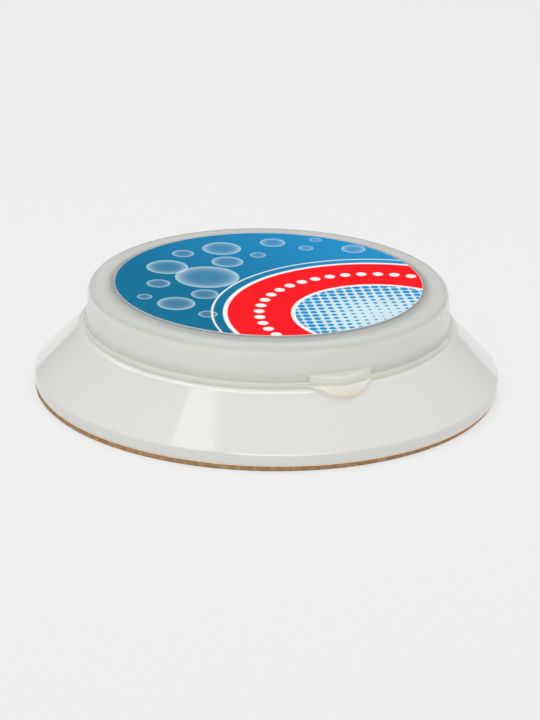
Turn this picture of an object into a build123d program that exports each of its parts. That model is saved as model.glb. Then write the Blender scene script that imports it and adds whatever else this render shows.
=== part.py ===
from build123d import *
import os
from math import hypot, radians, tan

# A round moistener for fingertips. A white conical base carries a shallow well of moistening gel, a frosted
# lid with a thumb tab snaps over the well's collar, a round label lies on the lid and a cork pad is taped
# under the base. Lengths are in millimetres. The origin is the middle of the pad's underside, +Z is up and
# the thumb tab points to -Y.

# Pad and tape under the base
pad_inset = 0.2
pad_thickness = 0.85
pad_edge_round = 0.2
tape_thickness = 0.2

# Base: straight rim, cone and seat for the lid
base_radius = 37.75
rim_height = 1.7
rim_land = 3.4
rim_edge_round = 0.25
crease_round = 0.55
cone_rise = 7.65
shell_wall = 1.8
seat_ledge = 0.6
seat_edge_round = 1.2

# Base: collar and gel well
collar_wall = 1.4
collar_headroom = 0.45
collar_edge_round = 0.4
well_drop = 3.8
well_draft = 2.0
well_wall = 1.6
well_corner_round = 2.5
floor_wall = 1.5

# Base: ring and spokes that back the pad
rib_count = 8
rib_wall = 1.2
hub_radius = 9.0

# Gel
gel_depth = 4.5
gel_dish = 0.35
gel_clearance = 0.05
meniscus_width = 1.1
meniscus_rise = 0.35

# Lid
lid_radius = 29.9
lid_height = 6.85
lid_wall = 0.9
lid_top_wall = 1.0
lid_draft = 5.0
lid_shoulder_round = 1.4
lid_inner_round = 0.5
flange_height = 1.0
flange_ledge = 0.22
flange_edge_round = 0.2
flare_height = 1.7
flare_reach = 0.33

# Snap between the lid and the collar, and the seal inside the collar's mouth
collar_gap = 0.55
snap_height = 1.3
snap_span = 0.8
ridge_proud = 0.2
snap_clearance = 0.06
seal_gap = 0.15
seal_wall = 0.8
seal_depth = 1.6

# Thumb tab: a lug on the skirt, and a lip under it that follows the cone
lug_reach = 1.13
lug_front_radius = 8.5
lug_height = 1.93
lug_root_height = 2.15
lug_edge_round = 0.25
lip_reach = 2.12
lip_front_radius = 7.0
lip_height = 0.56
lip_wall = 0.55
lip_gap = 0.25
lip_foot_round = 0.5
lip_edge_round = 0.08

# Label
label_radius = 24.9
label_thickness = 0.15

# Heights, from the pad's underside up
tape_z = pad_thickness
rim_z = tape_z + tape_thickness
crease_z = rim_z + rim_height
seat_z = crease_z + cone_rise
seat_under_z = seat_z - shell_wall
well_floor_z = seat_z - well_drop
floor_under_z = well_floor_z - floor_wall
gel_z = well_floor_z + gel_depth
flange_z = seat_z + flange_height
flare_z = flange_z + flare_height
lid_top_z = seat_z + lid_height
ceiling_z = lid_top_z - lid_top_wall
collar_top_z = ceiling_z - collar_headroom
bead_z = seat_z + snap_height
ridge_z = bead_z + snap_span

# Radii and slopes
pad_radius = base_radius - pad_inset
land_radius = base_radius - rim_land
cone_top_radius = lid_radius + seat_ledge
cone_slope = cone_rise / (base_radius - cone_top_radius)
cone_wall_run = shell_wall * hypot(1, cone_slope) / cone_slope
flare_radius = lid_radius - flange_ledge - flare_reach
lid_slope = tan(radians(lid_draft))
well_slope = tan(radians(well_draft))
bead_proud = collar_gap - ridge_proud - snap_clearance + snap_span * lid_slope


def skirt_radius(z):
    """Outside of the lid's drafted skirt at a height."""
    return flare_radius - (z - flare_z) * lid_slope


def bore_radius(z):
    """Inside of the lid's skirt at a height."""
    return skirt_radius(z) - lid_wall


def collar_radius(z):
    """Outside of the base's collar at a height, a gap inside the lid."""
    return bore_radius(z) - collar_gap


def well_radius(z):
    """Inside of the gel well at a height, narrowing towards its floor."""
    mouth_radius = collar_radius(collar_top_z) - collar_wall
    return mouth_radius - (collar_top_z - z) * well_slope


def cone_radius(z):
    """Outside of the base's cone at a height."""
    return cone_top_radius + (seat_z - z) / cone_slope


def cone_inner_radius(z):
    """Inside of the base's cone at a height."""
    return cone_radius(z) - cone_wall_run


def cone_height(radius):
    """Height of the cone's outside at a radius."""
    return seat_z - (radius - cone_top_radius) * cone_slope


def round_corner(section, point, radius):
    """Round the corner of a flat section that lies nearest to a point."""
    return fillet(section.vertices().sort_by_distance(point)[0], radius)


def turned(section):
    """Turn a section, drawn as radius and height, about the Z axis."""
    return revolve(Plane.XZ * section, Axis.Z)


def snap_ring(wall_radius, middle_z, proud):
    """Rounded ring that stands proud of a drafted wall, outwards or, where proud is negative, inwards."""
    low_z = middle_z - snap_span / 2
    high_z = middle_z + snap_span / 2
    root = -proud
    low = (wall_radius(low_z), low_z)
    high = (wall_radius(high_z), high_z)
    crown = (wall_radius(middle_z) + proud, middle_z)
    back_high = (high[0] + root, high_z)
    back_low = (low[0] + root, low_z)
    outline = ThreePointArc(low, crown, high) + Polyline(high, back_high, back_low, low)
    return turned(make_face(outline))


def hollow_under_base():
    """Space inside the cone, under the seat and under the well's floor."""
    land_top_z = seat_z - (land_radius + cone_wall_run - cone_top_radius) * cone_slope
    outline = Polyline(
        (0, rim_z),
        (land_radius, rim_z),
        (land_radius, land_top_z),
        (cone_inner_radius(seat_under_z), seat_under_z),
        (well_radius(seat_under_z) + well_wall, seat_under_z),
        (well_radius(floor_under_z) + well_wall, floor_under_z),
        (0, floor_under_z),
        close=True,
    )
    return turned(make_face(outline))


def base_ribs(hollow):
    """Ring and spokes that fill the hollow from its roof down to the rim's underside."""
    reach = 2 * seat_z
    ring = Cylinder(hub_radius, reach) - Cylinder(hub_radius - rib_wall, reach)
    spoke_length = base_radius - hub_radius + rib_wall
    spoke = Box(spoke_length, rib_wall, reach, align=(Align.MIN, Align.CENTER, Align.CENTER))
    spokes = PolarLocations(hub_radius - rib_wall / 2, rib_count) * spoke
    return hollow & (ring + spokes)


def make_base_shell():
    """White moulding: rim, cone, seat, collar with its snap ridge, and the gel well."""
    mouth = (well_radius(collar_top_z), collar_top_z)
    collar_top = (collar_radius(collar_top_z), collar_top_z)
    well_corner = (well_radius(well_floor_z), well_floor_z)
    outline = Polyline(
        (0, rim_z),
        (base_radius, rim_z),
        (base_radius, crease_z),
        (cone_top_radius, seat_z),
        (collar_radius(seat_z), seat_z),
        collar_top,
        mouth,
        well_corner,
        (0, well_floor_z),
        close=True,
    )
    section = make_face(outline)
    section = round_corner(section, (base_radius, rim_z), rim_edge_round)
    section = round_corner(section, (base_radius, crease_z), crease_round)
    section = round_corner(section, (cone_top_radius, seat_z), seat_edge_round)
    section = round_corner(section, collar_top, collar_edge_round)
    section = round_corner(section, mouth, collar_edge_round)
    section = round_corner(section, well_corner, well_corner_round)
    hollow = hollow_under_base()
    ridge = snap_ring(collar_radius, ridge_z, ridge_proud)
    return turned(section) - hollow + base_ribs(hollow) + ridge


def make_gel_cake():
    """Gel poured into the well, dished by use, with a lip where it wets the wall."""
    lip_z = gel_z + meniscus_rise
    corner = (well_radius(well_floor_z) - gel_clearance, well_floor_z)
    lip = (well_radius(lip_z) - gel_clearance, lip_z)
    shore = (lip[0] - meniscus_width, gel_z)
    middle = (0, gel_z - gel_dish)
    sides = Polyline(middle, (0, well_floor_z), corner, lip)
    curl = TangentArc(shore, lip, tangent=(1, 0))
    dish = TangentArc(middle, shore, tangent=(1, 0))
    section = make_face(sides + curl + dish)
    section = round_corner(section, corner, well_corner_round + gel_clearance)
    return turned(section)


def lid_cap():
    """Flat top, rounded shoulder, drafted skirt, flare and flange, hollow inside."""
    shoulder = (skirt_radius(lid_top_z), lid_top_z)
    inner_corner = (bore_radius(ceiling_z), ceiling_z)
    flange_top = (lid_radius, flange_z)
    flare_start = (flare_radius, flare_z)
    flare_end = (lid_radius - flange_ledge, flange_z)
    outer = Polyline((0, lid_top_z), shoulder, flare_start)
    flare = TangentArc(flare_start, flare_end, tangent=(lid_slope, -1))
    lower = Polyline(
        flare_end,
        flange_top,
        (lid_radius, seat_z),
        (bore_radius(seat_z), seat_z),
        inner_corner,
        (0, ceiling_z),
        (0, lid_top_z),
    )
    section = make_face(outer + flare + lower)
    section = round_corner(section, shoulder, lid_shoulder_round)
    section = round_corner(section, inner_corner, lid_inner_round)
    section = round_corner(section, (lid_radius, seat_z), flange_edge_round)
    return turned(section)


def lid_seal():
    """Thin ring under the lid's top that enters the collar's mouth."""
    tip_z = ceiling_z - seal_depth
    tip_radius = well_radius(tip_z) - seal_gap
    root_z = (ceiling_z + lid_top_z) / 2
    outline = Polyline(
        (tip_radius, tip_z),
        (tip_radius, root_z),
        (tip_radius - seal_wall, root_z),
        (tip_radius - seal_wall, tip_z),
        close=True,
    )
    return turned(make_face(outline))


def tab_prism(reach, front_radius):
    """Upright column, round in front, that stands a reach out from the flange on the tab's side."""
    column = Circle(front_radius)
    return Pos(0, front_radius - lid_radius - reach) * extrude(column, lid_top_z)


def front_edges(tab):
    """Curved edges of a tab's round front, above and below."""
    front = tab.faces().filter_by(GeomType.CYLINDER).sort_by(Axis.Y)[0]
    return front.edges().filter_by(GeomType.LINE, reverse=True)


def tab_lug():
    """Lug that thickens the skirt where the thumb pushes, its top falling a little towards the front."""
    root_radius = skirt_radius(flange_z) - lid_wall / 2
    front_radius = lid_radius + lug_reach
    side = Polyline(
        (-root_radius, seat_z + lip_gap),
        (-front_radius, seat_z + lip_gap),
        (-front_radius, seat_z + lug_height),
        (-root_radius, seat_z + lug_root_height),
        close=True,
    )
    bar = extrude(Plane.YZ * make_face(side), lug_front_radius, both=True)
    lug = bar & tab_prism(lug_reach, lug_front_radius)
    top = front_edges(lug).sort_by(Axis.Z)[-1]
    return fillet(top, lug_edge_round)


def tab_lip():
    """Lip under the lug, sloping out a gap above the cone."""
    root_radius = skirt_radius(flange_z) - lid_wall / 2
    foot = (lid_radius + lug_reach, seat_z + lip_height)
    tip_radius = lid_radius + lip_reach
    tip_z = cone_height(tip_radius) + lip_gap + lip_wall
    slope = (foot[1] - tip_z) / (tip_radius - foot[0])
    cut_radius = tip_radius + lip_wall
    outline = Polyline(
        (root_radius, seat_z + lip_gap),
        (cone_top_radius, seat_z + lip_gap),
        (cut_radius, cone_height(cut_radius) + lip_gap),
        (cut_radius, tip_z - lip_wall * slope),
        foot,
        (root_radius, foot[1]),
        close=True,
    )
    section = round_corner(make_face(outline), foot, lip_foot_round)
    section = round_corner(section, (cone_top_radius, seat_z + lip_gap), seat_edge_round)
    lip = turned(section) & tab_prism(lip_reach, lip_front_radius)
    return fillet(front_edges(lip), lip_edge_round)


def make_lid():
    """Frosted snap cap with its thumb tab, seal ring and snap bead."""
    bead = snap_ring(bore_radius, bead_z, -bead_proud)
    return lid_cap() + lid_seal() + bead + tab_lug() + tab_lip()


def make_lid_label():
    """Round printed film on the lid's flat top."""
    return Pos(0, 0, lid_top_z) * Cylinder(label_radius, label_thickness, align=upright)


def make_pad_tape():
    """Double-sided tape between the base's rim and the pad."""
    return Pos(0, 0, tape_z) * Cylinder(pad_radius, tape_thickness, align=upright)


def make_cork_pad():
    """Cork disc that the base stands on, its edges slightly rounded."""
    disc = Cylinder(pad_radius, pad_thickness, align=upright)
    return fillet(disc.edges().filter_by(GeomType.CIRCLE), pad_edge_round)


upright = (Align.CENTER, Align.CENTER, Align.MIN)
pieces = {
    "base_shell": make_base_shell,
    "gel_cake": make_gel_cake,
    "lid": make_lid,
    "lid_label": make_lid_label,
    "pad_tape": make_pad_tape,
    "cork_pad": make_cork_pad,
}

os.makedirs("parts", exist_ok=True)
for node, make in pieces.items():
    export_step(make(), f"parts/{node}.step")
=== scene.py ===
"""Dress a finger moistener: a white pot of gel with a frosted lid, a printed label and a cork foot."""

import logging
import math
from dataclasses import dataclass, field
from enum import Enum
from typing import Any, Optional, Sequence, Union

import bpy
from mathutils import Matrix, Vector


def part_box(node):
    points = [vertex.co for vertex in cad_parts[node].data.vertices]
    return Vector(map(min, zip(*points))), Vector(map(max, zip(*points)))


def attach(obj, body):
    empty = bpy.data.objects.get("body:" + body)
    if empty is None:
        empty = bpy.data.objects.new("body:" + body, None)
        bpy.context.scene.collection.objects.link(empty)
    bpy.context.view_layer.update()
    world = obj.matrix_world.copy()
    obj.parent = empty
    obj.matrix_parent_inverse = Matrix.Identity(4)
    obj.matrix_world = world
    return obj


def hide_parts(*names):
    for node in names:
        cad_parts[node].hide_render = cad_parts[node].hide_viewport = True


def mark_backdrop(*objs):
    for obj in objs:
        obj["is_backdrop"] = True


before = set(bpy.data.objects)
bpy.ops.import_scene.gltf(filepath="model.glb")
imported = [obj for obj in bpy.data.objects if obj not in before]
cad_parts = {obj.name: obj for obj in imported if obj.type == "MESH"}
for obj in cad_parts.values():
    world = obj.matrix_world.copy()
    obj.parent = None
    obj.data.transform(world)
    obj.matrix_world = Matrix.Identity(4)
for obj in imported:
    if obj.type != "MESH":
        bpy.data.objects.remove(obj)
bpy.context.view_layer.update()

log = logging.getLogger("finger_moistener")

MM = 0.001
LABEL_RADIUS_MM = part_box("lid_label")[1].x / MM

# Most of a noise's values lie between these two, and a cloudy noise has this many finer layers.
NOISE_LOW = 0.3
NOISE_HIGH = 0.7
NOISE_DETAIL = 3.0

# Width of one band of a diagonal wave at a scale of 1, measured across it on a level face.
WAVE_BAND = 2 * math.pi / 10 / math.sqrt(2)

# A Mix of colours has its share at input 0, its colours at inputs 6 and 7 and its result at output 2.
COLOURS = {"data_type": "RGBA"}
MIXED = 2

# Times this, a point keeps its place across the object and loses its height.
FLAT = (1.0, 1.0, 0.0)

# Watts that a lamp of one square metre needs to look as bright as a glow of strength 1.
LAMP_WATTS = 4.0

# Faces that meet at less than this are shaded as one smooth surface.
SMOOTH_ANGLE = math.radians(35.0)

Colour = tuple[float, float, float, float]
Socket = bpy.types.NodeSocket
Key = Union[str, int]
Point = tuple[float, float]
Span = tuple[float, float]
Triple = tuple[float, float, float]


class Body(Enum):
    """The two bodies that pieces ride on."""

    BASE = "base"
    LID = "lid"


class Way(Enum):
    """Which way the points of a roughened surface move."""

    OUTWARDS = "NORMAL"
    UPWARDS = "Z"


def srgb(hex_code: str) -> Colour:
    """Turn an sRGB hex colour into linear light.

    Args:
        hex_code: colour as "#RRGGBB".

    Returns:
        Linear red, green and blue with an alpha of 1.
    """
    parts = [int(hex_code[i:i + 2], 16) / 255 for i in (1, 3, 5)]
    linear = [c / 12.92 if c <= 0.04045 else ((c + 0.055) / 1.055) ** 2.4 for c in parts]
    return (linear[0], linear[1], linear[2], 1.0)


def add_node(
    tree: bpy.types.NodeTree,
    kind: str,
    settings: Optional[dict[str, Any]] = None,
    links: Optional[dict[Key, Any]] = None,
    output: Key = 0,
) -> Socket:
    """Add one node with its settings and what goes into it.

    Args:
        tree: node tree that gets the node.
        kind: Blender's name of the node type, after its "ShaderNode".
        settings: the node's own properties.
        links: a socket to link or a value to set, by input name or number.
        output: which of the node's outputs is wanted.

    Returns:
        That output socket.
    """
    node = tree.nodes.new("ShaderNode" + kind)
    for name, value in (settings or {}).items():
        setattr(node, name, value)
    for key, value in (links or {}).items():
        if isinstance(value, bpy.types.NodeSocket):
            tree.links.new(value, node.inputs[key])
        else:
            node.inputs[key].default_value = value
    return node.outputs[output]


class Finish:
    """A material that starts from a Principled shader and coordinates in millimetres."""

    # Share of a dust grain's radius that is fully dark.
    dust_core: float = 0.7

    def __init__(self, name: str) -> None:
        """Make the material, find its shader and lay out its coordinates.

        Args:
            name: name of the material.
        """
        self.material = bpy.data.materials.new(name)
        self.material.use_nodes = True
        self.tree = self.material.node_tree
        self.shader = self.tree.nodes["Principled BSDF"]
        place = add_node(self.tree, "TexCoord", output="Object")
        self.mm = add_node(self.tree, "VectorMath", {"operation": "SCALE"}, {0: place, "Scale": 1 / MM})

    def set(self, **values: Any) -> None:
        """Set or link the shader's sockets, named with underscores for spaces.

        Args:
            values: a socket to link or a plain value for each input.
        """
        for name, value in values.items():
            socket = self.shader.inputs[name.replace("_", " ")]
            if isinstance(value, bpy.types.NodeSocket):
                self.tree.links.new(value, socket)
            else:
                socket.default_value = value

    def dusted(self, clean: Socket, dust: str, cell_mm: float, radius_mm: float, kept: float) -> Socket:
        """Scatter a few grains of dust over a colour.

        Args:
            clean: the colour without dust.
            dust: colour of a grain.
            cell_mm: spacing of the places where a grain may lie.
            radius_mm: radius of a grain.
            kept: share of the places that hold one.

        Returns:
            The colour with its dust.
        """
        cells = add_node(self.tree, "TexVoronoi", links={"Vector": self.mm, "Scale": 1 / cell_mm}).node
        edge = radius_mm / cell_mm
        grain = add_node(
            self.tree,
            "MapRange",
            links={0: cells.outputs["Distance"], 1: self.dust_core * edge, 2: edge, 3: 1.0, 4: 0.0},
        )
        pick = add_node(self.tree, "SeparateColor", links={"Color": cells.outputs["Color"]})
        held = add_node(self.tree, "Math", {"operation": "LESS_THAN"}, {0: pick, 1: kept})
        share = add_node(self.tree, "Math", {"operation": "MULTIPLY"}, {0: grain, 1: held})
        return add_node(self.tree, "Mix", COLOURS, {0: share, 6: clean, 7: srgb(dust)}, MIXED)


@dataclass(frozen=True)
class MouldedPolystyrene:
    """White polystyrene, moulded in a polished tool: a hard clear gloss with a faint waviness."""

    name: str = "white_polystyrene_moulded"
    body: str = "#E8E8E5"
    thick: str = "#E4E5E0"
    dust: str = "#8C8880"
    ior: float = 1.59
    roughness: Span = (0.06, 0.09)
    cloud_mm: float = 22.0
    smear_mm: float = 5.0
    wave_mm: float = 7.0
    wave_depth_mm: float = 0.004
    dust_cell_mm: float = 8.0
    dust_radius_mm: float = 0.1
    dust_kept: float = 0.35

    def build(self) -> bpy.types.Material:
        """Make the material.

        Returns:
            The finished material.
        """
        f = Finish(self.name)
        cloud = add_node(
            f.tree,
            "TexNoise",
            links={"Vector": f.mm, "Scale": 1 / self.cloud_mm, "Detail": NOISE_DETAIL},
        )
        smear = add_node(
            f.tree,
            "TexNoise",
            links={"Vector": f.mm, "Scale": 1 / self.smear_mm, "Detail": NOISE_DETAIL},
        )
        wave = add_node(
            f.tree,
            "TexNoise",
            links={"Vector": f.mm, "Scale": 1 / self.wave_mm, "Detail": 0.0},
        )
        tone = add_node(f.tree, "Mix", COLOURS, {0: cloud, 6: srgb(self.body), 7: srgb(self.thick)}, MIXED)
        smooth, dull = self.roughness
        f.set(
            Base_Color=f.dusted(tone, self.dust, self.dust_cell_mm, self.dust_radius_mm, self.dust_kept),
            Roughness=add_node(
                f.tree,
                "MapRange",
                links={0: smear, 1: NOISE_LOW, 2: NOISE_HIGH, 3: smooth, 4: dull},
            ),
            IOR=self.ior,
            Normal=add_node(
                f.tree,
                "Bump",
                links={"Height": wave, "Distance": self.wave_depth_mm * MM},
            ),
        )
        return f.material


@dataclass(frozen=True)
class FrostedPolypropylene:
    """Natural polypropylene from a lightly blasted tool: milky, with a soft waxy sheen.

    It is creamy where it is thick, at the flange and the lip, and painted shade darkens the lip towards
    its lower edge.
    Painted shade also colours the top and shoulder darker and cooler, and the wall is clearer where little
    plastic covers a hollow, above the snap, on top and in the seal ring, so that the dark inside shows
    through there.
    Lamps shine into it, and most of all into the flange, so its shadow on the base is faint.
    """

    name: str = "frosted_polypropylene_moulded"
    # Cream of the thick plastic at the lip, with painted shade that darkens it towards its lower edge.
    lip: str = "#F8E6CD"
    flange: str = "#FBF8EC"
    body: str = "#FCFEF0"
    # Painted shade: the top and shoulder are coloured darker and cooler than the skirt.
    top_painted_shade: str = "#E3E5E3"
    dust: str = "#7D786E"
    sheen: str = "#959595"
    ior: float = 1.49
    roughness: Span = (0.2, 0.26)

    # Share of the light that goes straight through each part of the wall.
    clear_thick: float = 0.2
    clear_lug: float = 0.35
    clear_body: float = 0.18
    clear_snap: float = 0.44
    clear_top: float = 0.46
    clear_beside_label: float = 0.7
    clear_seal: float = 0.92

    # Heights above the desk at which the wall changes.
    lip_mm: float = 9.1
    lip_top_mm: float = 10.4
    flange_mm: float = 11.4
    skirt_mm: float = 13.2
    collar_mm: float = 15.9
    crown_mm: float = 16.55

    # Distances from the axis at which it changes, and half the width of a sharp change.
    seal_radius_mm: float = 26.2
    shoulder_radius_mm: float = 26.0
    skirt_radius_mm: float = 29.72
    step_mm: float = 0.06

    # Share of a lamp's light that the wall stops, and how far light wanders inside it.
    lamp_stop: float = 0.35
    lamp_stop_flange: float = 0.08
    scatter_mm: float = 1.0
    scatter_share: Triple = (1.0, 1.0, 0.9)

    # The grain of the tool is too fine to show, so the frost is drawn coarser.
    flow_mm: float = 9.0
    frost_mm: float = 0.35
    frost_depth_mm: float = 0.004
    dust_cell_mm: float = 9.0
    dust_radius_mm: float = 0.11
    dust_kept: float = 0.4

    def clearness(self, f: Finish, height: Socket, radius: Socket) -> Socket:
        """How much of the light goes straight through, from the wall's thickness at each place.

        Args:
            f: the material being made.
            height: height above the desk.
            radius: distance from the axis.

        Returns:
            Share of clear light.
        """
        skirt = add_node(
            f.tree,
            "MapRange",
            {"interpolation_type": "SMOOTHSTEP"},
            {0: height, 1: self.flange_mm, 2: self.skirt_mm, 3: self.clear_snap, 4: self.clear_body},
        )
        rise = add_node(f.tree, "MapRange", links={0: height, 1: self.collar_mm, 2: self.crown_mm})
        top = add_node(
            f.tree,
            "MapRange",
            {"interpolation_type": "SMOOTHSTEP"},
            {
                0: radius,
                1: LABEL_RADIUS_MM,
                2: self.shoulder_radius_mm,
                3: self.clear_beside_label,
                4: self.clear_top,
            },
        )
        wall = add_node(f.tree, "Mix", links={0: rise, 2: skirt, 3: top})
        tab = add_node(
            f.tree,
            "MapRange",
            links={
                0: radius,
                1: self.skirt_radius_mm - self.step_mm,
                2: self.skirt_radius_mm + self.step_mm,
            },
        )
        facing = add_node(f.tree, "NewGeometry", output="Normal")
        up = add_node(f.tree, "SeparateXYZ", links={0: facing}, output="Z")
        above = add_node(
            f.tree,
            "Math",
            {"operation": "GREATER_THAN"},
            {0: height, 1: self.flange_mm + self.step_mm},
        )
        level = add_node(f.tree, "Math", {"operation": "MULTIPLY", "use_clamp": True}, {0: up, 1: above})
        lug = add_node(f.tree, "Mix", links={0: level, 2: self.clear_thick, 3: self.clear_lug})
        wall = add_node(f.tree, "Mix", links={0: tab, 2: wall, 3: lug})
        inner = add_node(f.tree, "Math", {"operation": "LESS_THAN"}, {0: radius, 1: self.seal_radius_mm})
        under = add_node(f.tree, "Math", {"operation": "SUBTRACT"}, {0: 1.0, 1: rise})
        seal = add_node(f.tree, "Math", {"operation": "MULTIPLY"}, {0: inner, 1: under})
        return add_node(f.tree, "Mix", links={0: seal, 2: wall, 3: self.clear_seal})

    def tone(self, f: Finish, height: Socket) -> Socket:
        """Colour of the plastic: creamy at the lip with painted shade towards its lower edge, and painted
        shade on top.

        Args:
            f: the material being made.
            height: height above the desk.

        Returns:
            The colour at each height.
        """
        # Painted shade: towards the lip's lower edge the colour turns darker and warmer.
        low = add_node(f.tree, "MapRange", links={0: height, 1: self.lip_mm, 2: self.lip_top_mm})
        middle = add_node(
            f.tree,
            "MapRange",
            links={0: height, 1: self.flange_mm - self.step_mm, 2: self.flange_mm + self.step_mm},
        )
        # Painted shade: above the collar the colour turns darker and cooler.
        high = add_node(f.tree, "MapRange", links={0: height, 1: self.collar_mm, 2: self.crown_mm})
        cream = add_node(f.tree, "Mix", COLOURS, {0: low, 6: srgb(self.lip), 7: srgb(self.flange)}, MIXED)
        wall = add_node(f.tree, "Mix", COLOURS, {0: middle, 6: cream, 7: srgb(self.body)}, MIXED)
        return add_node(f.tree, "Mix", COLOURS, {0: high, 6: wall, 7: srgb(self.top_painted_shade)}, MIXED)

    def opacity(self, f: Finish, height: Socket) -> Socket:
        """How solid the wall is: wholly so to the eye, but only in part to a lamp's light.

        Args:
            f: the material being made.
            height: height above the desk.

        Returns:
            Share of the light that is stopped.
        """
        lamp = add_node(f.tree, "LightPath", output="Is Shadow Ray")
        stop = add_node(
            f.tree,
            "MapRange",
            links={
                0: height,
                1: self.flange_mm - self.step_mm,
                2: self.flange_mm + self.step_mm,
                3: self.lamp_stop_flange,
                4: self.lamp_stop,
            },
        )
        return add_node(f.tree, "MapRange", links={0: lamp, 3: 1.0, 4: stop})

    def build(self) -> bpy.types.Material:
        """Make the material.

        Returns:
            The finished material.
        """
        f = Finish(self.name)
        height = add_node(f.tree, "SeparateXYZ", links={0: f.mm}, output="Z")
        flat = add_node(f.tree, "VectorMath", {"operation": "MULTIPLY"}, {0: f.mm, 1: FLAT})
        radius = add_node(f.tree, "VectorMath", {"operation": "LENGTH"}, {0: flat}, output="Value")
        flow = add_node(
            f.tree,
            "TexNoise",
            links={"Vector": f.mm, "Scale": 1 / self.flow_mm, "Detail": NOISE_DETAIL},
        )
        frost = add_node(
            f.tree,
            "TexNoise",
            links={"Vector": f.mm, "Scale": 1 / self.frost_mm, "Detail": NOISE_DETAIL},
        )
        tone = self.tone(f, height)
        smooth, dull = self.roughness
        f.set(
            Base_Color=f.dusted(tone, self.dust, self.dust_cell_mm, self.dust_radius_mm, self.dust_kept),
            Roughness=add_node(
                f.tree,
                "MapRange",
                links={0: flow, 1: NOISE_LOW, 2: NOISE_HIGH, 3: smooth, 4: dull},
            ),
            IOR=self.ior,
            Specular_Tint=srgb(self.sheen),
            Transmission_Weight=self.clearness(f, height, radius),
            Alpha=self.opacity(f, height),
            Subsurface_Weight=1.0,
            Subsurface_Radius=self.scatter_share,
            Subsurface_Scale=self.scatter_mm * MM,
            Normal=add_node(
                f.tree,
                "Bump",
                links={"Height": frost, "Distance": self.frost_depth_mm * MM},
            ),
        )
        return f.material


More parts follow.
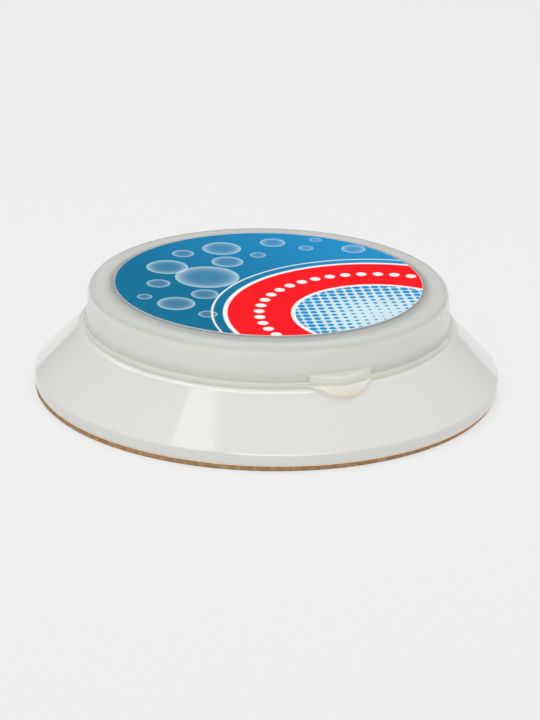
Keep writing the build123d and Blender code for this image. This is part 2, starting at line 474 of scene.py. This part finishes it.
@dataclass(frozen=True)
class PrintedFilm:
    """White film printed in solid and screened inks under a satin varnish, white at its cut edge.

    The print is a blue ground with bubbles, a beaded red arc and a pale corner with a screen of dots.
    Places and lengths on it are in millimetres.
    """

    name: str = "printed_film_label"
    film: str = "#F3F4F1"
    teal: str = "#006E95"
    sky: str = "#1E90CB"
    mist: str = "#CFE6EF"
    red: str = "#F81520"
    ior: float = 1.45
    gloss: float = 0.02
    roughness: Span = (0.36, 0.46)
    grain_mm: float = 1.4
    grain_depth_mm: float = 0.003

    # The print lies on faces that look up, keeps a margin to the cut edge and ends a little softly.
    upward: float = 0.5
    turned: float = math.radians(-12.0)
    margin_mm: float = 0.05
    edge_mm: float = 0.09

    # The ground grows lighter along a slanting way across the label.
    ground_turn: float = math.radians(23.63)
    ground_mm: Span = (-13.742, 25.194)

    # A printer's screen is too fine to show, so it is drawn coarser.
    hatch_mm: float = 1.075
    hatch_share: float = 0.015
    hatch_waver: float = 1.5
    hatch_detail: float = 2.0

    # A red arc between white keylines has a hairline outside it and beads along its middle.
    arc_middle: Point = (15.0, -17.5)
    arc_outer_mm: float = 24.4
    arc_inner_mm: float = 14.4
    keyline_mm: float = 0.7
    hairline_mm: float = 0.16
    hairline_gap_mm: float = 1.7
    bead_mm: float = 0.85
    bead_step: float = math.radians(8.0)

    # The dots' radius, as a share of their pitch, grows from the arc's middle outwards.
    dot_pitch_mm: float = 1.5
    dot_small: float = 0.1
    dot_large: float = 0.46

    # Share of light ink in a bubble's middle and at its rim, and each bubble's place and radius.
    bubble_centre: float = 0.08
    bubble_rim: float = 0.75
    bubble_fall: float = 5.0
    bubbles: tuple[tuple[Point, float], ...] = (
        ((-9.5, 3.5), 5.2),
        ((-15.2, 9.2), 3.4),
        ((-5.0, 10.6), 2.6),
        ((-17.8, 1.4), 1.9),
        ((-11.2, -4.6), 2.2),
        ((-16.4, -8.4), 3.0),
        ((-12.2, -13.8), 1.5),
        ((-20.9, -4.6), 1.2),
        ((-11.6, 15.6), 1.8),
        ((-4.8, 17.4), 3.2),
        ((0.6, 13.4), 1.3),
        ((4.2, 19.4), 2.1),
        ((9.2, 16.0), 1.2),
        ((11.6, 20.0), 1.0),
        ((17.0, 14.6), 2.0),
    )

    def distance(self, f: Finish, centre: Point) -> Socket:
        """Distance from a point of the print.

        Args:
            f: the material being made.
            centre: the point, across and up the label.

        Returns:
            The distance.
        """
        flat = add_node(f.tree, "VectorMath", {"operation": "MULTIPLY"}, {0: f.mm, 1: FLAT})
        return add_node(
            f.tree,
            "VectorMath",
            {"operation": "DISTANCE"},
            {0: flat, 1: (*centre, 0.0)},
            output="Value",
        )

    def within(self, f: Finish, away: Socket, reach: float) -> Socket:
        """A patch of ink that ends at a distance, with a slightly soft edge.

        Args:
            f: the material being made.
            away: distance from the middle of the patch.
            reach: distance at which the ink ends.

        Returns:
            1 inside and 0 outside.
        """
        return add_node(
            f.tree,
            "MapRange",
            links={0: away, 1: reach - self.edge_mm, 2: reach + self.edge_mm, 3: 1.0, 4: 0.0},
        )

    def disc(self, f: Finish, centre: Point, radius: float) -> Socket:
        """A round spot of ink.

        Args:
            f: the material being made.
            centre: middle of the spot.
            radius: its radius.

        Returns:
            1 inside and 0 outside.
        """
        return self.within(f, self.distance(f, centre), radius)

    def off_arc(self, f: Finish, centre: Point, radius: float) -> Socket:
        """How far outside an arc a place lies.

        Args:
            f: the material being made.
            centre: middle of the arc.
            radius: radius of the arc.

        Returns:
            The distance, below 0 inside the arc.
        """
        away = self.distance(f, centre)
        return add_node(f.tree, "Math", {"operation": "SUBTRACT"}, {0: away, 1: radius})

    def ring(self, f: Finish, centre: Point, radius: float, half_width: float) -> Socket:
        """A ring of ink.

        Args:
            f: the material being made.
            centre: middle of the ring.
            radius: radius of its middle line.
            half_width: half the width of the line.

        Returns:
            1 on the ring and 0 beside it.
        """
        across = self.off_arc(f, centre, radius)
        away = add_node(f.tree, "Math", {"operation": "ABSOLUTE"}, {0: across})
        return self.within(f, away, half_width)

    def bubble(self, f: Finish, centre: Point, radius: float) -> Socket:
        """A bubble, clear in the middle and bright along its rim.

        Args:
            f: the material being made.
            centre: middle of the bubble.
            radius: its radius.

        Returns:
            Share of the light ink.
        """
        away = self.distance(f, centre)
        out = add_node(f.tree, "Math", {"operation": "DIVIDE"}, {0: away, 1: radius})
        rim = add_node(f.tree, "Math", {"operation": "POWER"}, {0: out, 1: self.bubble_fall})
        glow = add_node(f.tree, "MapRange", links={0: rim, 3: self.bubble_centre, 4: self.bubble_rim})
        inside = self.within(f, away, radius)
        return add_node(f.tree, "Math", {"operation": "MULTIPLY"}, {0: glow, 1: inside})

    def beads(self, f: Finish, centre: Point, radius: float) -> Socket:
        """A string of round spots along an arc.

        Args:
            f: the material being made.
            centre: middle of the arc.
            radius: radius of the arc.

        Returns:
            1 on a spot and 0 beside it.
        """
        local = add_node(
            f.tree,
            "VectorMath",
            {"operation": "SUBTRACT"},
            {0: f.mm, 1: (*centre, 0.0)},
        )
        split = add_node(f.tree, "SeparateXYZ", links={0: local}).node
        angle = add_node(
            f.tree,
            "Math",
            {"operation": "ARCTAN2"},
            {0: split.outputs["Y"], 1: split.outputs["X"]},
        )
        swing = add_node(f.tree, "Math", {"operation": "PINGPONG"}, {0: angle, 1: self.bead_step / 2})
        along = add_node(f.tree, "Math", {"operation": "MULTIPLY"}, {0: swing, 1: radius})
        across = self.off_arc(f, centre, radius)
        pair = add_node(f.tree, "CombineXYZ", links={"X": along, "Y": across})
        away = add_node(f.tree, "VectorMath", {"operation": "LENGTH"}, {0: pair}, output="Value")
        return self.within(f, away, self.bead_mm)

    def dots(self, f: Finish, centre: Point, reach: float) -> Socket:
        """A screen of dots that grow away from a point.

        Args:
            f: the material being made.
            centre: where the dots are smallest.
            reach: distance at which they are largest.

        Returns:
            1 on a dot and 0 beside it.
        """
        cells = add_node(
            f.tree,
            "TexVoronoi",
            {"voronoi_dimensions": "2D"},
            {"Vector": f.mm, "Scale": 1 / self.dot_pitch_mm, "Randomness": 0.0},
        )
        away = self.distance(f, centre)
        size = add_node(
            f.tree,
            "MapRange",
            links={0: away, 2: reach, 3: self.dot_small, 4: self.dot_large},
        )
        inside = add_node(f.tree, "Math", {"operation": "SUBTRACT"}, {0: size, 1: cells})
        soft = self.edge_mm / self.dot_pitch_mm
        dot = add_node(f.tree, "MapRange", links={0: inside, 1: -soft, 2: soft})
        field_of_dots = self.within(f, away, reach)
        return add_node(f.tree, "Math", {"operation": "MULTIPLY"}, {0: dot, 1: field_of_dots})

    def ground(self, f: Finish) -> Socket:
        """The blue ground, deeper on the left, with a fine slanting screen.

        Args:
            f: the material being made.

        Returns:
            Its colour.
        """
        way = (math.cos(self.ground_turn), math.sin(self.ground_turn), 0.0)
        along = add_node(
            f.tree,
            "VectorMath",
            {"operation": "DOT_PRODUCT"},
            {0: f.mm, 1: way},
            output="Value",
        )
        start, end = self.ground_mm
        light = add_node(f.tree, "MapRange", links={0: along, 1: start, 2: end})
        blue = add_node(f.tree, "Mix", COLOURS, {0: light, 6: srgb(self.teal), 7: srgb(self.sky)}, MIXED)
        screen = add_node(
            f.tree,
            "TexWave",
            {"bands_direction": "DIAGONAL"},
            {
                "Vector": f.mm,
                "Scale": WAVE_BAND / self.hatch_mm,
                "Distortion": self.hatch_waver,
                "Detail": self.hatch_detail,
            },
        )
        share = add_node(f.tree, "Math", {"operation": "MULTIPLY"}, {0: screen, 1: self.hatch_share})
        return add_node(f.tree, "Mix", COLOURS, {0: share, 6: blue, 7: srgb(self.mist)}, MIXED)

    def layers(self, f: Finish) -> list[tuple[str, Socket]]:
        """The inks laid on the ground, from the lowest to the highest.

        Args:
            f: the material being made.

        Returns:
            Colour and shape of each.
        """
        middle = self.arc_middle
        corner = self.arc_inner_mm - self.keyline_mm
        hairline = self.arc_outer_mm + self.keyline_mm + self.hairline_gap_mm
        inks = [(self.mist, self.bubble(f, centre, radius)) for centre, radius in self.bubbles]
        inks.append((self.film, self.ring(f, middle, hairline, self.hairline_mm)))
        inks.append((self.film, self.disc(f, middle, self.arc_outer_mm + self.keyline_mm)))
        inks.append((self.red, self.disc(f, middle, self.arc_outer_mm)))
        inks.append((self.film, self.beads(f, middle, (self.arc_outer_mm + self.arc_inner_mm) / 2)))
        inks.append((self.film, self.disc(f, middle, self.arc_inner_mm)))
        inks.append((self.mist, self.disc(f, middle, corner)))
        inks.append((self.sky, self.dots(f, middle, corner)))
        return inks

    def build(self) -> bpy.types.Material:
        """Make the material.

        Returns:
            The finished material.
        """
        f = Finish(self.name)
        f.mm = add_node(
            f.tree,
            "VectorRotate",
            {"rotation_type": "Z_AXIS"},
            {"Vector": f.mm, "Angle": -self.turned},
        )
        ink = self.ground(f)
        for colour, shape in self.layers(f):
            ink = add_node(f.tree, "Mix", COLOURS, {0: shape, 6: ink, 7: srgb(colour)}, MIXED)
        printed = self.disc(f, (0.0, 0.0), LABEL_RADIUS_MM - self.margin_mm)
        facing = add_node(f.tree, "NewGeometry", output="Normal")
        up = add_node(f.tree, "SeparateXYZ", links={0: facing}, output="Z")
        top = add_node(f.tree, "Math", {"operation": "GREATER_THAN"}, {0: up, 1: self.upward})
        share = add_node(f.tree, "Math", {"operation": "MULTIPLY"}, {0: printed, 1: top})
        grain = add_node(
            f.tree,
            "TexNoise",
            links={"Vector": f.mm, "Scale": 1 / self.grain_mm, "Detail": NOISE_DETAIL},
        )
        smooth, dull = self.roughness
        f.set(
            Base_Color=add_node(f.tree, "Mix", COLOURS, {0: share, 6: srgb(self.film), 7: ink}, MIXED),
            Roughness=add_node(
                f.tree,
                "MapRange",
                links={0: grain, 1: NOISE_LOW, 2: NOISE_HIGH, 3: smooth, 4: dull},
            ),
            IOR=self.ior,
            Specular_IOR_Level=self.gloss,
            Normal=add_node(
                f.tree,
                "Bump",
                links={"Height": grain, "Distance": self.grain_depth_mm * MM},
            ),
        )
        return f.material


@dataclass(frozen=True)
class AgglomeratedCork:
    """Fine cork granules pressed with a binder: tan to brown grains, darker seams, dry and matt."""

    name: str = "granulated_cork"
    light: str = "#CDA67C"
    dark: str = "#B0875E"
    seam: str = "#9A7552"
    ior: float = 1.4
    gloss: float = 0.3
    roughness: Span = (0.78, 0.98)
    grain_mm: float = 0.7
    seam_mm: float = 0.09
    seam_share: float = 0.5
    fleck_mm: float = 0.3
    fleck_range: Span = (0.45, 0.75)
    fleck_share: float = 0.4
    relief_mm: float = 0.05

    def build(self) -> bpy.types.Material:
        """Make the material.

        Returns:
            The finished material.
        """
        f = Finish(self.name)
        grains = add_node(
            f.tree,
            "TexVoronoi",
            links={"Vector": f.mm, "Scale": 1 / self.grain_mm},
            output="Color",
        )
        seams = add_node(
            f.tree,
            "TexVoronoi",
            {"feature": "DISTANCE_TO_EDGE"},
            {"Vector": f.mm, "Scale": 1 / self.grain_mm},
        )
        flecks = add_node(
            f.tree,
            "TexNoise",
            links={"Vector": f.mm, "Scale": 1 / self.fleck_mm, "Detail": NOISE_DETAIL},
        )
        pick = add_node(f.tree, "SeparateColor", links={"Color": grains})
        gap = add_node(
            f.tree,
            "MapRange",
            links={0: seams, 2: self.seam_mm / self.grain_mm, 3: self.seam_share, 4: 0.0},
        )
        faint, full = self.fleck_range
        fleck = add_node(
            f.tree,
            "MapRange",
            links={0: flecks, 1: faint, 2: full, 3: 0.0, 4: self.fleck_share},
        )
        tone = add_node(f.tree, "Mix", COLOURS, {0: pick, 6: srgb(self.light), 7: srgb(self.dark)}, MIXED)
        tone = add_node(f.tree, "Mix", COLOURS, {0: fleck, 6: tone, 7: srgb(self.dark)}, MIXED)
        smooth, dull = self.roughness
        f.set(
            Base_Color=add_node(f.tree, "Mix", COLOURS, {0: gap, 6: tone, 7: srgb(self.seam)}, MIXED),
            Roughness=add_node(f.tree, "MapRange", links={0: gap, 3: smooth, 4: dull}),
            IOR=self.ior,
            Specular_IOR_Level=self.gloss,
            Normal=add_node(
                f.tree,
                "Bump",
                {"invert": True},
                {"Height": gap, "Distance": self.relief_mm * MM},
            ),
        )
        return f.material


@dataclass(frozen=True)
class CreamTape:
    """Double-sided tissue tape: a cream line with fibres and a slightly tacky sheen."""

    name: str = "cream_double_sided_tape"
    body: str = "#FFF3E0"
    fibre: str = "#F6DFC0"
    ior: float = 1.47
    roughness: Span = (0.4, 0.6)

    # Single fibres are too fine to show, so they are drawn as tufts.
    fibre_mm: float = 0.6
    fibre_depth_mm: float = 0.01

    def build(self) -> bpy.types.Material:
        """Make the material.

        Returns:
            The finished material.
        """
        f = Finish(self.name)
        fibres = add_node(
            f.tree,
            "TexNoise",
            links={"Vector": f.mm, "Scale": 1 / self.fibre_mm, "Detail": NOISE_DETAIL},
        )
        smooth, dull = self.roughness
        f.set(
            Base_Color=add_node(
                f.tree,
                "Mix",
                COLOURS,
                {0: fibres, 6: srgb(self.body), 7: srgb(self.fibre)},
                MIXED,
            ),
            Roughness=add_node(
                f.tree,
                "MapRange",
                links={0: fibres, 1: NOISE_LOW, 2: NOISE_HIGH, 3: smooth, 4: dull},
            ),
            IOR=self.ior,
            Normal=add_node(
                f.tree,
                "Bump",
                links={"Height": fibres, "Distance": self.fibre_depth_mm * MM},
            ),
        )
        return f.material


@dataclass(frozen=True)
class GlycerineGel:
    """Stiff off-white glycerine gel: light goes a little way in, and its top is wet and faintly pearly."""

    name: str = "glycerine_gel"
    body: str = "#F9F5EA"
    pearl: str = "#F5F3EA"
    ior: float = 1.47
    roughness: Span = (0.05, 0.12)
    swirl_mm: float = 6.0
    swirl_depth_mm: float = 0.1
    swirl_detail: float = 1.0
    swirl_twist: float = 0.8
    pearl_range: Span = (0.35, 0.65)
    scatter_mm: float = 1.2
    scatter_share: Triple = (1.0, 0.95, 0.85)
    scattered: float = 0.5

    def build(self) -> bpy.types.Material:
        """Make the material.

        Returns:
            The finished material.
        """
        f = Finish(self.name)
        swirl = add_node(
            f.tree,
            "TexNoise",
            links={
                "Vector": f.mm,
                "Scale": 1 / self.swirl_mm,
                "Detail": self.swirl_detail,
                "Distortion": self.swirl_twist,
            },
        )
        plain, pearly = self.pearl_range
        share = add_node(f.tree, "MapRange", links={0: swirl, 1: plain, 2: pearly})
        wet, dull = self.roughness
        f.set(
            Base_Color=add_node(
                f.tree,
                "Mix",
                COLOURS,
                {0: share, 6: srgb(self.body), 7: srgb(self.pearl)},
                MIXED,
            ),
            Roughness=add_node(f.tree, "MapRange", links={0: share, 3: wet, 4: dull}),
            IOR=self.ior,
            Subsurface_Weight=self.scattered,
            Subsurface_Radius=self.scatter_share,
            Subsurface_Scale=self.scatter_mm * MM,
            Normal=add_node(
                f.tree,
                "Bump",
                links={"Height": swirl, "Distance": self.swirl_depth_mm * MM},
            ),
        )
        return f.material


def dress(node: str, body: Body, material: bpy.types.Material) -> None:
    """Give a CAD node its finish.

    Args:
        node: name of the node.
        body: what the node rides on.
        material: finish for all its slots.
    """
    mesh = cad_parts[node].data
    for place in range(len(mesh.materials)):
        mesh.materials[place] = material
    if not mesh.materials:
        mesh.materials.append(material)
    log.info("%s on %s wears %s", node, body.value, material.name)


def turn(name: str, profile: Sequence[Point], steps: int) -> bpy.types.Object:
    """Model a round piece by drawing a ring out along its profile.

    Args:
        name: name of the piece.
        profile: radius and height of each ring, in metres, from the underside round to the top.
        steps: corners of each ring.

    Returns:
        The closed piece, at the origin.
    """
    bpy.ops.object.select_all(action="DESELECT")
    radius, height = profile[0]
    bpy.ops.mesh.primitive_circle_add(
        vertices=steps,
        radius=radius,
        fill_type="TRIFAN",
        location=(0.0, 0.0, 0.0),
    )
    piece = bpy.context.object
    piece.name = name
    piece.data.name = name
    bpy.ops.object.mode_set(mode="EDIT")
    bpy.ops.mesh.select_all(action="SELECT")
    bpy.ops.transform.translate(value=(0.0, 0.0, height))
    bpy.ops.mesh.select_all(action="DESELECT")
    bpy.ops.mesh.select_mode(type="EDGE")
    bpy.ops.mesh.select_non_manifold(
        extend=False,
        use_wire=False,
        use_multi_face=False,
        use_non_contiguous=False,
        use_verts=False,
    )
    for next_radius, next_height in profile[1:]:
        rise = (0.0, 0.0, next_height - height)
        bpy.ops.mesh.extrude_edges_move(TRANSFORM_OT_translate={"value": rise})
        grow = next_radius / radius
        bpy.ops.transform.resize(value=(grow, grow, 1.0), center_override=(0.0, 0.0, next_height))
        radius = next_radius
        height = next_height
    bpy.ops.mesh.extrude_edges_move(TRANSFORM_OT_translate={"value": (0.0, 0.0, 0.0)})
    bpy.ops.mesh.merge(type="CENTER")
    bpy.ops.mesh.select_all(action="SELECT")
    bpy.ops.mesh.normals_make_consistent(inside=False)
    bpy.ops.object.mode_set(mode="OBJECT")
    bpy.ops.object.shade_smooth_by_angle(angle=SMOOTH_ANGLE)
    return piece


def roughen(piece: bpy.types.Object, group: str, size: float, depth: float, way: Way) -> None:
    """Work a cloudy unevenness into part of a piece.

    Args:
        piece: what is roughened.
        group: vertex group that it is kept to.
        size: width of a feature, in metres.
        depth: from the lowest to the highest point, in metres.
        way: where the points move.
    """
    clouds = bpy.data.textures.new(f"{piece.name}_unevenness", "CLOUDS")
    clouds.noise_scale = size
    clouds.noise_depth = 2
    relief = piece.modifiers.new("unevenness", "DISPLACE")
    relief.texture = clouds
    relief.texture_coords = "LOCAL"
    relief.direction = way.value
    relief.strength = depth
    relief.mid_level = 0.5
    relief.vertex_group = group
    bpy.context.view_layer.objects.active = piece
    bpy.ops.object.modifier_apply(modifier=relief.name)


@dataclass
class Base:
    """The white moulding with its tape, cork foot and gel."""

    shell: MouldedPolystyrene = field(default_factory=MouldedPolystyrene)
    tape: CreamTape = field(default_factory=CreamTape)
    cork: AgglomeratedCork = field(default_factory=AgglomeratedCork)
    gel: GlycerineGel = field(default_factory=GlycerineGel)

    # The well's wall, which the gel follows, and the gel's raised rim, dish and dabs.
    well_draft: float = math.radians(2.0)
    well_corner: float = 2.5 * MM
    corner_steps: int = 6
    meniscus_width: float = 1.1 * MM
    meniscus_rise: float = 0.35 * MM
    meniscus_steps: int = 4
    gel_dish: float = 0.6 * MM
    gel_ring: float = 0.9 * MM
    gel_steps: int = 128
    dab_size: float = 9.0 * MM
    dab_depth: float = 1.2 * MM
    dab_fade: int = 4

    # How the foot is trimmed and set off centre, its edge and the crumbs along it.
    cork_trim: float = 0.12 * MM
    cork_shift: Point = (-0.2 * MM, 0.085 * MM)
    cork_edge: float = 0.2 * MM
    cork_belt: float = 2.1 * MM
    cork_layers: int = 5
    cork_steps: int = 360
    crumb_belt: float = 0.7 * MM
    crumb_size: float = 0.8 * MM
    crumb_depth: float = 0.16 * MM

    def gel_profile(self) -> list[Point]:
        """Work out the gel's section from the node that it fills.

        Returns:
            Radius and height of each ring.
        """
        low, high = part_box("gel_cake")
        wall_radius = high.x
        depth = high.z - low.z
        foot_radius = wall_radius - depth * math.tan(self.well_draft)
        points: list[Point] = [(foot_radius - self.well_corner, low.z)]
        for step in range(1, self.corner_steps + 1):
            turned = math.pi / 2 * step / self.corner_steps
            points.append((
                foot_radius - self.well_corner * (1 - math.sin(turned)),
                low.z + self.well_corner * (1 - math.cos(turned)),
            ))
        points.append((wall_radius, high.z))
        for step in range(1, self.meniscus_steps):
            share = step / self.meniscus_steps
            sag = self.meniscus_rise * (1 - (1 - share) ** 2)
            points.append((wall_radius - share * self.meniscus_width, high.z - sag))
        brim = wall_radius - self.meniscus_width
        rings = round(brim / self.gel_ring)
        for ring in range(rings, 0, -1):
            share = ring / rings
            dish = self.gel_dish * (1 - share * share)
            points.append((brim * share, high.z - self.meniscus_rise - dish))
        return points

    def build_gel(self) -> bpy.types.Object:
        """Model the gel with a surface that fingers have dabbed.

        Returns:
            The gel, in place of its node.
        """
        gel = turn("gel_surface", self.gel_profile(), self.gel_steps)
        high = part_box("gel_cake")[1]
        surface = gel.vertex_groups.new(name="surface")
        brim = high.x - self.meniscus_width
        under_top = high.z - 2 * (self.meniscus_rise + self.gel_dish)
        for vertex in gel.data.vertices:
            away = math.hypot(vertex.co.x, vertex.co.y) / brim
            if away < 1 and vertex.co.z > under_top:
                surface.add([vertex.index], 1 - away ** self.dab_fade, "REPLACE")
        roughen(gel, surface.name, self.dab_size, self.dab_depth, Way.UPWARDS)
        gel.data.materials.append(self.gel.build())
        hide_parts("gel_cake")
        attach(gel, Body.BASE.value)
        return gel

    def cork_profile(self) -> list[Point]:
        """Work out the foot's section from the node that it stands for.

        Returns:
            Radius and height of each ring.
        """
        low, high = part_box("cork_pad")
        radius = high.x - self.cork_trim
        insets = (self.cork_belt, self.crumb_belt, self.cork_edge)
        cut = high.z - low.z - 2 * self.cork_edge
        points: list[Point] = [(radius - inset, low.z) for inset in insets]
        for layer in range(self.cork_layers):
            share = layer / (self.cork_layers - 1)
            points.append((radius, low.z + self.cork_edge + share * cut))
        points.extend((radius - inset, high.z) for inset in reversed(insets))
        return points

    def build_cork(self) -> bpy.types.Object:
        """Model the cork foot with a crumbly cut edge, stuck on a little off centre.

        Returns:
            The foot, in place of its node.
        """
        foot = turn("cork_foot", self.cork_profile(), self.cork_steps)
        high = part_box("cork_pad")[1]
        rim = foot.vertex_groups.new(name="rim")
        inside_rim = high.x - self.cork_trim - self.cork_edge / 2
        for vertex in foot.data.vertices:
            if math.hypot(vertex.co.x, vertex.co.y) > inside_rim:
                rim.add([vertex.index], 1.0, "REPLACE")
        roughen(foot, rim.name, self.crumb_size, self.crumb_depth, Way.OUTWARDS)
        bpy.ops.object.mode_set(mode="EDIT")
        bpy.ops.mesh.select_all(action="SELECT")
        bpy.ops.transform.translate(value=(*self.cork_shift, 0.0))
        bpy.ops.object.mode_set(mode="OBJECT")
        foot.data.materials.append(self.cork.build())
        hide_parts("cork_pad")
        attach(foot, Body.BASE.value)
        return foot

    def build(self) -> None:
        """Dress the moulding and its tape, and model the gel and the foot."""
        dress("base_shell", Body.BASE, self.shell.build())
        dress("pad_tape", Body.BASE, self.tape.build())
        for piece in (self.build_gel(), self.build_cork()):
            log.info("%s rides on %s", piece.name, Body.BASE.value)


@dataclass
class Lid:
    """The frosted cap and the label stuck on it."""

    cap: FrostedPolypropylene = field(default_factory=FrostedPolypropylene)
    label: PrintedFilm = field(default_factory=PrintedFilm)

    def build(self) -> None:
        """Dress the cap and its label."""
        dress("lid", Body.LID, self.cap.build())
        dress("lid_label", Body.LID, self.label.build())


@dataclass
class Lamp:
    """A rectangular soft lamp, or a card that shows only in the gloss of one node."""

    name: str
    place: Triple
    width: float
    height: float
    radiance: float
    aim: Triple = (0.0, 0.0, 0.01)
    gloss_on: Optional[str] = None

    def build(self, turned: Matrix) -> bpy.types.Object:
        """Hang the lamp.

        Args:
            turned: turn of the camera about the object, which the studio turns with.

        Returns:
            The lamp.
        """
        data = bpy.data.lights.new(self.name, "AREA")
        data.shape = "RECTANGLE"
        data.size = self.width
        data.size_y = self.height
        data.energy = LAMP_WATTS * self.radiance * self.width * self.height
        lamp = bpy.data.objects.new(self.name, data)
        bpy.context.scene.collection.objects.link(lamp)
        place = turned @ Vector(self.place)
        lamp.location = place
        lamp.rotation_euler = (turned @ Vector(self.aim) - place).to_track_quat("-Z", "Y").to_euler()
        if self.gloss_on:
            shown_in = bpy.data.collections.new(f"{self.name}_shown_in")
            shown_in.objects.link(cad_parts[self.gloss_on])
            lamp.light_linking.receiver_collection = shown_in
            lamp.visible_diffuse = False
        return lamp


@dataclass
class Studio:
    """Pale floor, soft lamps, dim room and the camera."""

    # Where the camera stands, its lens, and the pixel at which it sees the middle of the foot.
    azimuth: float = math.radians(-22.75)
    elevation: float = math.radians(21.32)
    roll: float = math.radians(1.28)
    distance: float = 491.4 * MM
    lens_mm: float = 150.2
    frame_width: int = 540
    frame_height: int = 720
    foot_pixel: Point = (266.5, 384.8)
    foot_height: float = -0.45 * MM

    # Tones of the floor and the room, and lamps whose places are in metres from the object.
    floor_hex: str = "#EFEFEF"
    floor_radius: float = 12.0
    floor_steps: int = 64
    floor_glow: float = 0.78
    room_hex: str = "#FFFFFF"
    room: float = 0.405
    room_slant: Point = (0.08, -0.06)
    lamps: tuple[Lamp, ...] = (
        Lamp(
            "top_softbox",
            place=(0.0, 0.06, 0.6),
            width=0.6,
            height=0.46,
            radiance=2.0,
            aim=(0.0, 0.06, 0.0),
        ),
        Lamp("left_softbox", place=(-0.45, -0.45, 0.65), width=0.32, height=0.475, radiance=1.55),
        Lamp("front_panel", place=(0.05, -1.0, 0.75), width=0.6, height=0.45, radiance=1.4),
        Lamp(
            "front_card",
            place=(0.15, -0.84, 0.55),
            width=0.9,
            height=1.05,
            radiance=1.7,
            gloss_on="base_shell",
        ),
        Lamp(
            "side_card",
            place=(-0.36, 0.3, 0.62),
            width=0.36,
            height=0.4,
            radiance=1.6,
            gloss_on="base_shell",
        ),
    )

    def build_camera(self) -> bpy.types.Object:
        """Place the camera where the photograph was taken from.

        Returns:
            The camera.
        """
        ahead = Vector((0.0, math.cos(self.elevation), -math.sin(self.elevation)))
        level = Vector((1.0, 0.0, 0.0))
        upright = level.cross(ahead)
        right = math.cos(self.roll) * level + math.sin(self.roll) * upright
        up = math.cos(self.roll) * upright - math.sin(self.roll) * level
        foot = Vector((0.0, 0.0, self.foot_height))
        place = foot - self.distance * ahead
        data = bpy.data.cameras.new("photo_camera")
        data.lens = self.lens_mm
        pixel = data.sensor_width / self.frame_height / self.lens_mm * self.distance
        aim = foot + pixel * (self.frame_width / 2 - self.foot_pixel[0]) * right
        aim += pixel * (self.foot_pixel[1] - self.frame_height / 2) * up
        back = (place - aim).normalized()
        side = up.cross(back).normalized()
        axes = Matrix((side, back.cross(side), back)).transposed().to_4x4()
        camera = bpy.data.objects.new("photo_camera", data)
        bpy.context.scene.collection.objects.link(camera)
        turned = Matrix.Rotation(self.azimuth, 4, "Z")
        camera.matrix_world = turned @ Matrix.Translation(place) @ axes
        bpy.context.scene.camera = camera
        return camera

    def build_floor(self) -> bpy.types.Object:
        """Lay the pale floor, which keeps an even tone and a soft shadow.

        Returns:
            None, for the floor is marked as backdrop and not handed back.
        """
        bpy.ops.object.select_all(action="DESELECT")
        bpy.ops.mesh.primitive_circle_add(
            vertices=self.floor_steps,
            radius=self.floor_radius,
            fill_type="NGON",
        )
        floor = bpy.context.object
        floor.name = "floor"
        material = bpy.data.materials.new("pale_floor")
        material.use_nodes = True
        tree = material.node_tree
        tree.nodes.remove(tree.nodes["Principled BSDF"])
        tone = srgb(self.floor_hex)
        matt = add_node(tree, "BsdfDiffuse", links={"Color": tone})
        glow = add_node(tree, "Emission", links={"Color": tone})
        seen = add_node(tree, "MixShader", links={0: self.floor_glow, 1: matt, 2: glow})
        path = add_node(tree, "LightPath").node
        direct = path.outputs["Is Camera Ray"]
        for ray in ("Is Glossy Ray", "Is Transmission Ray"):
            direct = add_node(tree, "Math", {"operation": "MAXIMUM"}, {0: direct, 1: path.outputs[ray]})
        surface = add_node(tree, "MixShader", links={0: direct, 1: matt, 2: seen})
        tree.links.new(surface, tree.nodes["Material Output"].inputs["Surface"])
        floor.data.materials.append(material)
        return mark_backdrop(floor)

    def build_room(self) -> None:
        """Light the room, a little brighter on the right and on the camera's side."""
        world = bpy.data.worlds.new("studio_room")
        world.use_nodes = True
        tree = world.node_tree
        sky = tree.nodes["Background"]
        toward = Matrix.Rotation(self.azimuth, 3, "Z") @ Vector((*self.room_slant, 0.0))
        way = add_node(tree, "TexCoord", output="Generated")
        slant = add_node(
            tree,
            "VectorMath",
            {"operation": "DOT_PRODUCT"},
            {0: way, 1: tuple(toward)},
            output="Value",
        )
        level = add_node(tree, "Math", {"operation": "ADD"}, {0: slant, 1: self.room})
        tree.links.new(level, sky.inputs["Strength"])
        sky.inputs["Color"].default_value = srgb(self.room_hex)
        bpy.context.scene.world = world

    def build(self) -> None:
        """Set up the whole studio."""
        self.build_camera()
        self.build_floor()
        self.build_room()
        turned = Matrix.Rotation(self.azimuth, 3, "Z")
        for lamp in self.lamps:
            lamp.build(turned)
        bpy.context.scene.view_settings.view_transform = "Standard"


def main() -> None:
    """Build the base, the lid and the studio in order."""
    logging.basicConfig(level=logging.INFO, format="%(name)s: %(message)s")
    Base().build()
    Lid().build()
    Studio().build()


if __name__ == "__main__":
    main()
